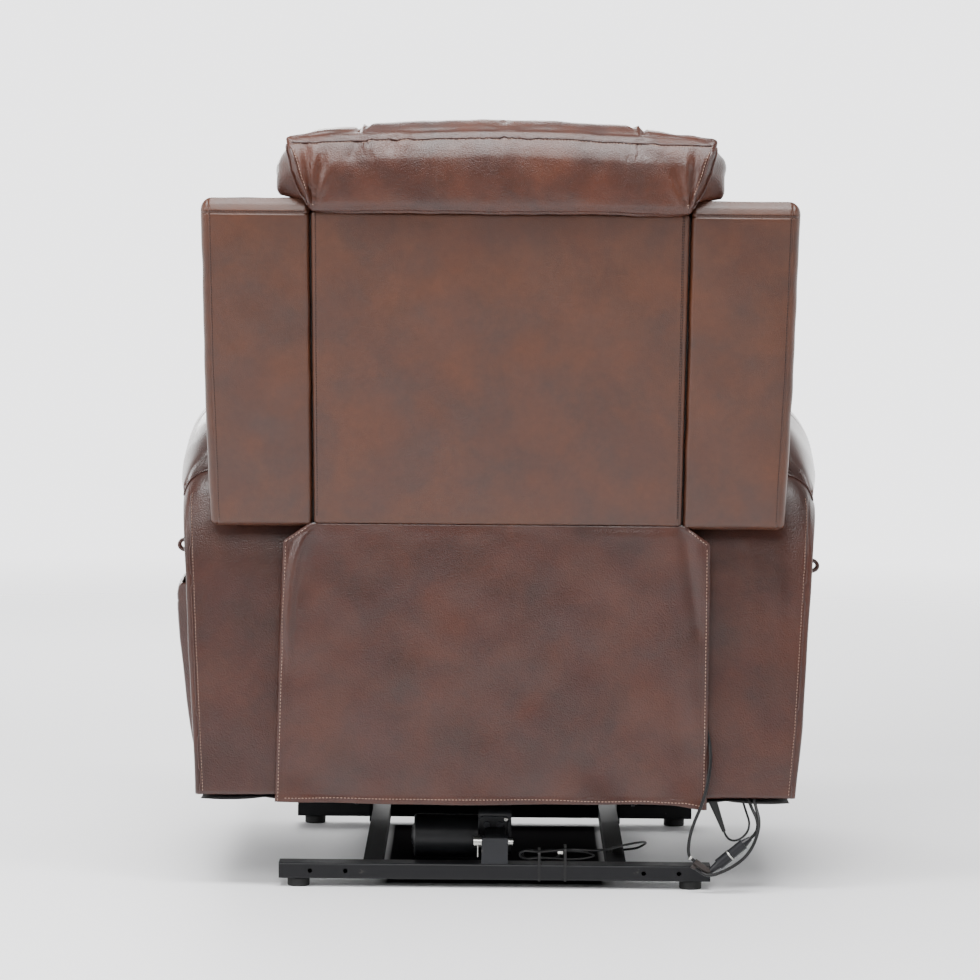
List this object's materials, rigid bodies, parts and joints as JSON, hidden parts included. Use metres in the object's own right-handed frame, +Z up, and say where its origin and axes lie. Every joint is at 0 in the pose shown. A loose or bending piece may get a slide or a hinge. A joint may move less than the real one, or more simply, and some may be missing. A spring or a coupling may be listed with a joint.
{
  "type": "lift recliner chair",
  "caption": "Powered lift recliner with leather arms, winged back, head pillow, legrest, rear cloth flap and a steel floor frame with a lift drive.",
  "frame": {"origin": "on the floor, at the middle of the chair's outline seen from above", "axes": "+Z up, the sitter faces -Y, +X to the sitter's left"},
  "size_m": [0.8924, 0.941, 1.065],
  "materials": {
    "pebbled_leather": "satin",
    "smooth_leather": "satin",
    "frame_steel": "satin",
    "bracket_steel": "satin",
    "bright_steel": "satin",
    "drive_housing": "satin",
    "black_plastic": "matte",
    "foot_rubber": "matte",
    "lead_jacket": "satin",
    "connector_plastic": "satin",
    "button_plastic": "matte",
    "dust_cloth": "matte",
    "webbing_cloth": "matte",
    "frame_wood": "matte"
  },
  "bodies": {
    "base": {"rear_crossbar": "frame_steel", "front_crossbar": "frame_steel", "side_rails": "frame_steel", "crossbar_end_plugs": "black_plastic", "floor_feet": "foot_rubber", "pivot_uprights": "frame_steel", "drive_bracket": "bracket_steel", "drive_pin": "bright_steel", "lead_hank": "lead_jacket", "lead_tail": "lead_jacket", "lead_clip": "black_plastic", "cable_ties": "black_plastic"},
    "lift_arm_set": {"lift_arms": "frame_steel", "horn_tube": "frame_steel"},
    "front_link_set": {"front_links": "frame_steel"},
    "drive": {"drive_gearbox": "drive_housing", "drive_motor": "drive_housing", "drive_tube": "drive_housing"},
    "rod": {"drive_rod": "bright_steel", "horn_pin": "bright_steel"},
    "chassis": {"lift_plates": "frame_steel", "cross_tubes": "frame_steel", "seat_frame": "frame_wood", "seat_webbing": "webbing_cloth", "seat_cushion": "pebbled_leather", "control_box": "black_plastic", "back_hinge_ears": "frame_steel", "legrest_plates": "frame_steel", "left_arm": "pebbled_leather", "right_arm": "pebbled_leather", "arm_pads": "pebbled_leather", "arm_dust_covers": "dust_cloth", "left_pocket": "pebbled_leather", "right_pocket": "pebbled_leather", "side_loops": "pebbled_leather", "rear_flap": "pebbled_leather", "lead_down_flap": "lead_jacket", "lead_from_socket": "lead_jacket", "lead_loop": "lead_jacket", "lead_return": "lead_jacket", "lead_splitter": "connector_plastic", "round_connector": "connector_plastic", "lead_boot": "lead_jacket"},
    "back": {"back_frame": "frame_wood", "rear_panel": "smooth_leather", "left_wing": "smooth_leather", "right_wing": "smooth_leather", "lumbar_cushion": "smooth_leather", "shoulder_cushion": "smooth_leather", "head_pillow": "pebbled_leather"},
    "leg_drive": {"leg_drive_links": "frame_steel"},
    "leg_front": {"leg_front_links": "frame_steel"},
    "leg_carrier": {"leg_carrier_links": "frame_steel"},
    "leg_upper": {"leg_upper_links": "frame_steel"},
    "footrest": {"board_brackets": "frame_steel", "legrest_board": "frame_wood", "legrest_pad": "pebbled_leather"},
    "hand_control": {"control_case": "black_plastic"},
    "raise_button": {"button_raise": "button_plastic"},
    "lower_button": {"button_lower": "button_plastic"}
  },
  "joints": [
    {"name": "lift", "type": "hinge", "parent": "base", "child": "lift_arm_set", "pos_m": [0, -0.255, 0.075], "axis": [1, 0, 0], "range_deg": [0, 60]},
    {"name": "chassis_tilt", "type": "hinge", "parent": "lift_arm_set", "child": "chassis", "pos_m": [0, 0.115, 0.129], "axis": [1, 0, 0], "range_deg": [-38.01, 0]},
    {"name": "front_link_swing", "type": "hinge", "parent": "base", "child": "front_link_set", "pos_m": [0, -0.293, 0.054], "axis": [1, 0, 0], "range_deg": [0, 64.16]},
    {"name": "drive_swing", "type": "hinge", "parent": "base", "child": "drive", "pos_m": [0, 0.286, 0.062], "axis": [1, 0, 0], "range_deg": [-1.26, 0]},
    {"name": "drive_extend", "type": "slide", "parent": "drive", "child": "rod", "axis": [0, -0.9767, 0.2146], "range_m": [0, 0.12698]},
    {"name": "back_recline", "type": "hinge", "parent": "chassis", "child": "back", "pos_m": [0, 0.228, 0.395], "axis": [-1, 0, 0], "range_deg": [0, 35], "deforming": ["rear_flap"]},
    {"name": "legrest", "type": "hinge", "parent": "chassis", "child": "leg_drive", "pos_m": [0, -0.2179, 0.345], "axis": [-1, 0, 0], "range_deg": [0, 95.6]},
    {"name": "leg_carrier_turn", "type": "hinge", "parent": "leg_drive", "child": "leg_carrier", "pos_m": [0, -0.0989, 0.1518], "axis": [-1, 0, 0], "range_deg": [-92.49, 0]},
    {"name": "footrest_turn", "type": "hinge", "parent": "leg_carrier", "child": "footrest", "pos_m": [0, -0.385, 0.2905], "axis": [-1, 0, 0], "range_deg": [0, 77.4]},
    {"name": "leg_front_turn", "type": "hinge", "parent": "chassis", "child": "leg_front", "pos_m": [0, -0.2779, 0.345], "axis": [-1, 0, 0], "range_deg": [0, 96.05]},
    {"name": "leg_upper_turn", "type": "hinge", "parent": "leg_front", "child": "leg_upper", "pos_m": [0, -0.1315, 0.1856], "axis": [-1, 0, 0], "range_deg": [-94.87, 0]},
    {"name": "hand_control_lift", "type": "slide", "parent": "chassis", "child": "hand_control", "axis": [0.0479, 0, 0.9989], "range_m": [0, 0.12]},
    {"name": "raise_button_press", "type": "slide", "parent": "hand_control", "child": "raise_button", "axis": [-0.9989, 0, 0.0479], "range_m": [0, 0.0012], "stiffness_N_per_m": 900, "springref_m": -0.0006},
    {"name": "lower_button_press", "type": "slide", "parent": "hand_control", "child": "lower_button", "axis": [-0.9989, 0, 0.0479], "range_m": [0, 0.0012], "stiffness_N_per_m": 900, "springref_m": -0.0006}
  ],
  "couplings": [
    {"joint": "chassis_tilt", "follows": "lift", "ratio": -0.63333},
    {"joint": "front_link_swing", "follows": "lift", "ratio": 1.0691},
    {"joint": "drive_swing", "follows": "lift", "ratio": -0.021034},
    {"joint": "drive_extend", "follows": "lift", "m_per_rad": 0.12124},
    {"joint": "leg_carrier_turn", "follows": "legrest", "ratio": -0.96739},
    {"joint": "footrest_turn", "follows": "legrest", "ratio": 0.80957},
    {"joint": "leg_front_turn", "follows": "legrest", "ratio": 1.0046},
    {"joint": "leg_upper_turn", "follows": "legrest", "ratio": -0.99231}
  ]
}
